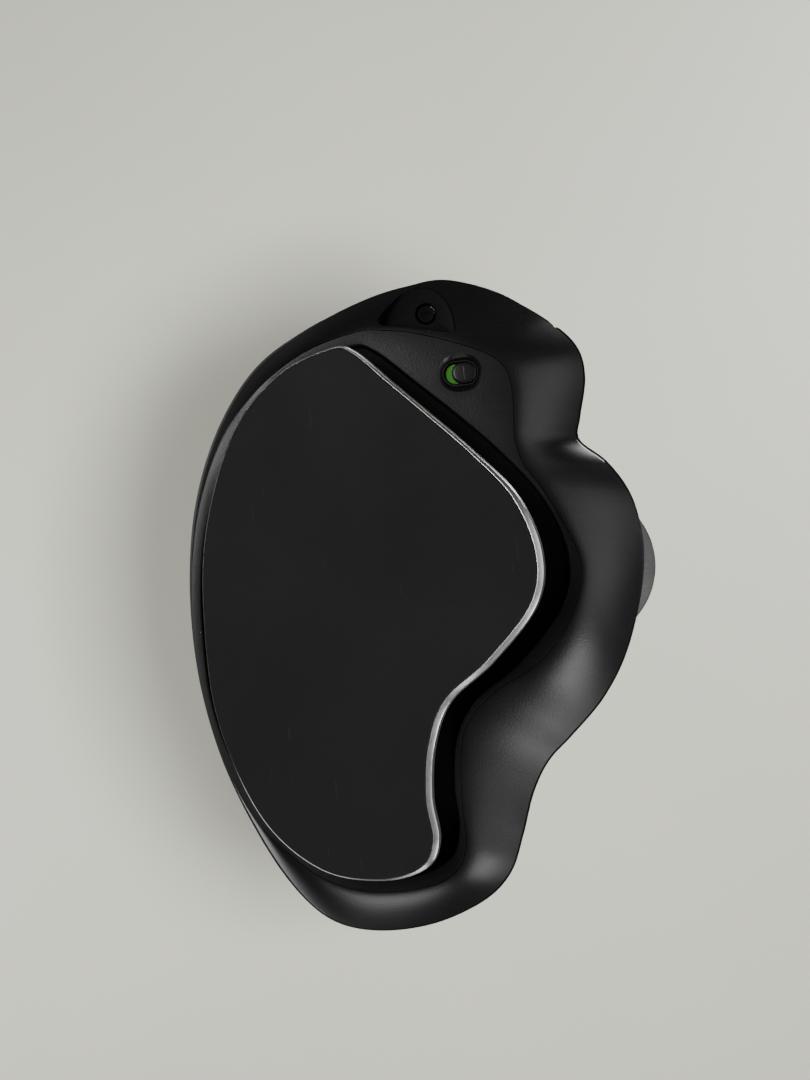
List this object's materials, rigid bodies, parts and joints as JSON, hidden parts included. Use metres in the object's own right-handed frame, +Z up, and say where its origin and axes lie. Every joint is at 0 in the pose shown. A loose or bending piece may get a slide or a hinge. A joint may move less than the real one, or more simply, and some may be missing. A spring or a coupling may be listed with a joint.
{
  "type": "trackball mouse",
  "caption": "Right-handed thumb trackball mouse on a hinged steel tilt plate, with keys, tilting scroll wheel and side buttons.",
  "frame": {"origin": "on the desk plane under the rubber pad, at the drawing centre of the body outline", "axes": "+Z up from the desk, -Y towards the keys, +X towards the thumb and the ball"},
  "size_m": [0.0908, 0.1339, 0.0699],
  "materials": {
    "plate_steel": "bright machined edge",
    "dark_steel": "dark plated",
    "pad_rubber": "matte",
    "casing_plastic": "satin fine texture",
    "cover_plastic": "satin soft touch",
    "key_plastic": "satin",
    "button_plastic": "semi gloss",
    "frame_plastic": "moulded",
    "switch_plastic": "moulded",
    "circuit_board": "solder mask",
    "battery_wrap": "shrink wrap",
    "cable_film": "film",
    "green_marker": "moulded",
    "ball": "polished, fine speckle",
    "bead": "polished ceramic",
    "lens": "clear",
    "wheel_rubber": "ribbed",
    "hub_metal": "satin"
  },
  "bodies": {
    "tilt_plate": {"base_plate": "plate_steel", "rubber_pad": "pad_rubber", "plate_lug_front": "dark_steel", "plate_lug_rear": "dark_steel", "hinge_pin": "plate_steel"},
    "mouse_body": {"bottom_shell": "casing_plastic", "top_cover": "cover_plastic", "wheel_console": "frame_plastic", "hinge_bearing_front": "frame_plastic", "hinge_bearing_rear": "frame_plastic", "ball_cup": "frame_plastic", "bearing_bead_1": "bead", "bearing_bead_2": "bead", "bearing_bead_3": "bead", "sensor_lens": "lens", "optical_sensor": "switch_plastic", "sensor_board": "circuit_board", "main_board": "circuit_board", "side_board": "circuit_board", "right_switch": "switch_plastic", "left_switch": "switch_plastic", "middle_switch": "switch_plastic", "button_board": "circuit_board", "forward_switch": "switch_plastic", "back_switch": "switch_plastic", "console_board": "circuit_board", "mode_switch": "switch_plastic", "light_pipe": "lens", "precision_board": "circuit_board", "precision_switch": "switch_plastic", "battery": "battery_wrap", "usb_socket": "plate_steel", "sensor_cable": "cable_film", "on_off_marker": "green_marker", "slide_switch": "switch_plastic", "front_screw": "dark_steel", "pinky_screw": "dark_steel", "rear_screw_left": "dark_steel", "rear_screw_right": "dark_steel", "thumb_screw": "dark_steel", "holding_magnet_flat": "plate_steel", "holding_magnet_tilted": "plate_steel"},
    "ball": {"trackball": "ball"},
    "left_key": {"left_key": "key_plastic"},
    "right_key": {"right_key": "key_plastic"},
    "forward_button": {"forward_button": "button_plastic"},
    "back_button": {"back_button": "button_plastic"},
    "mode_button": {"mode_button": "button_plastic"},
    "precision_button": {"precision_button": "button_plastic"},
    "wheel_carriage": {"wheel_carriage": "frame_plastic"},
    "wheel_cradle": {"wheel_cradle": "frame_plastic", "wheel_axle": "dark_steel", "wheel_encoder": "switch_plastic"},
    "wheel": {"wheel_tyre": "wheel_rubber", "wheel_hub": "hub_metal"},
    "power_slider": {"power_slider": "casing_plastic"}
  },
  "joints": [
    {"name": "tilt", "type": "hinge", "parent": "tilt_plate", "child": "mouse_body", "pos_m": [-0.038, 0, 0.005], "axis": [0, 1, 0], "range_deg": [0, 20]},
    {"name": "ball_roll", "type": "hinge", "parent": "mouse_body", "child": "ball", "pos_m": [0.02361, -0.0035, 0.05296], "axis": [0, 1, 0], "continuous": true},
    {"name": "left_key_press", "type": "hinge", "parent": "mouse_body", "child": "left_key", "pos_m": [0.00359, -0.0175, 0.05738], "axis": [0.9397, 0, 0.342], "range_deg": [0, 0.8], "stiffness_Nm_per_rad": 2},
    {"name": "right_key_press", "type": "hinge", "parent": "mouse_body", "child": "right_key", "pos_m": [-0.01495, -0.0175, 0.05276], "axis": [0.9397, 0, 0.342], "range_deg": [0, 0.8], "stiffness_Nm_per_rad": 2},
    {"name": "forward_press", "type": "slide", "parent": "mouse_body", "child": "forward_button", "axis": [0.342, 0, -0.9397], "range_m": [0, 0.0006], "stiffness_N_per_m": 400},
    {"name": "back_press", "type": "slide", "parent": "mouse_body", "child": "back_button", "axis": [0.342, 0, -0.9397], "range_m": [0, 0.0006], "stiffness_N_per_m": 400},
    {"name": "mode_press", "type": "slide", "parent": "mouse_body", "child": "mode_button", "axis": [0.342, 0, -0.9397], "range_m": [0, 0.0005], "stiffness_N_per_m": 400},
    {"name": "precision_press", "type": "slide", "parent": "mouse_body", "child": "precision_button", "axis": [0.342, 0, -0.9397], "range_m": [0, 0.0005], "stiffness_N_per_m": 400},
    {"name": "wheel_press", "type": "slide", "parent": "mouse_body", "child": "wheel_carriage", "axis": [0.342, 0, -0.9397], "range_m": [0, 0.0005], "stiffness_N_per_m": 1500},
    {"name": "wheel_tilt", "type": "hinge", "parent": "wheel_carriage", "child": "wheel_cradle", "pos_m": [0.00758, -0.0425, 0.03064], "axis": [0, 1, 0], "range_deg": [-3.5, 3.5], "stiffness_Nm_per_rad": 0.3},
    {"name": "wheel_spin", "type": "hinge", "parent": "wheel_cradle", "child": "wheel", "pos_m": [0.0045, -0.0425, 0.03909], "axis": [0.9397, 0, 0.342], "continuous": true},
    {"name": "power_slide", "type": "slide", "parent": "mouse_body", "child": "power_slider", "axis": [-0.9397, 0, -0.342], "range_m": [0, 0.0016]}
  ]
}
